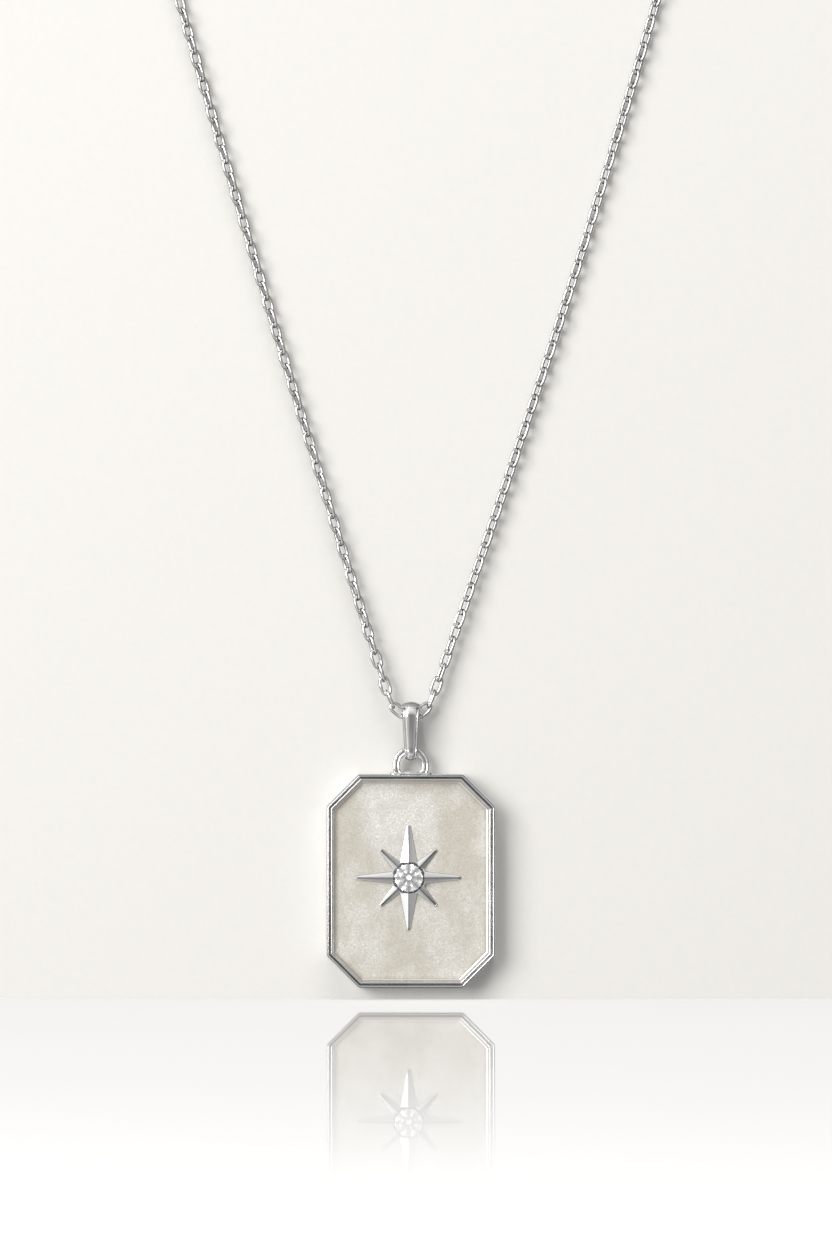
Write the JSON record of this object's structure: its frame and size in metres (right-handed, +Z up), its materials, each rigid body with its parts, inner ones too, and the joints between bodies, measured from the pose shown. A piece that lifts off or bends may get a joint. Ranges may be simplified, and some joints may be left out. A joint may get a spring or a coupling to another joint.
{
  "type": "pendant necklace",
  "caption": "Necklace with an octagonal framed shell plaque, a raised star set with a round stone, a swinging bail, a fine cable chain and a sprung claw clasp.",
  "frame": {"origin": "on the display rail's top line where the chain lies over it, midway between the chain's two sides, 130 mm above the pendant's lowest edge", "axes": "+Z up; the pendant faces -Y; +X to the viewer's right; the chain's back half and clasp hang at +Y"},
  "size_m": [0.0656, 0.0103, 0.1314],
  "materials": {
    "plated_silver": "polished",
    "spring_steel": "satin",
    "shell": "gloss",
    "crystal": "polished",
    "clear_bond": "gloss"
  },
  "bodies": {
    "chain": {"bail_link": "plated_silver", "chain_front_left": "plated_silver", "chain_front_right": "plated_silver", "chain_over_rail_left": "plated_silver", "chain_over_rail_right": "plated_silver", "chain_back_left": "plated_silver", "chain_back_right": "plated_silver", "clasp_jump_ring": "plated_silver", "catch_jump_ring": "plated_silver"},
    "bail": {"bail": "plated_silver"},
    "pendant": {"bezel_frame": "plated_silver", "back_plate": "plated_silver", "inlay_bond": "clear_bond", "shell_inlay": "shell", "starburst": "plated_silver", "stone_collet": "plated_silver", "brilliant_stone": "crystal", "frame_loop": "plated_silver"},
    "clasp": {"clasp_body": "plated_silver", "clasp_pin": "spring_steel", "clasp_spring": "spring_steel", "catch_ring": "plated_silver"},
    "trigger": {"clasp_trigger": "plated_silver"}
  },
  "joints": [
    {"name": "bail_swing", "type": "hinge", "parent": "chain", "child": "bail", "pos_m": [0, 0, -0.1058], "axis": [-1, 0, 0], "range_deg": [0, 75]},
    {"name": "pendant_swing", "type": "hinge", "parent": "bail", "child": "pendant", "pos_m": [0, 0, -0.1089], "axis": [-1, 0, 0], "range_deg": [0, 90]},
    {"name": "clasp_roll", "type": "hinge", "parent": "chain", "child": "clasp", "pos_m": [0, 0.0068, -0.0945], "axis": [1, 0, 0], "range_deg": [-25, 25]},
    {"name": "trigger_pull", "type": "hinge", "parent": "clasp", "child": "trigger", "pos_m": [-0.00192, 0.0068, -0.0956], "axis": [0, -1, 0], "range_deg": [0, 28], "stiffness_Nm_per_rad": 0.0004, "springref_deg": -17.19}
  ]
}
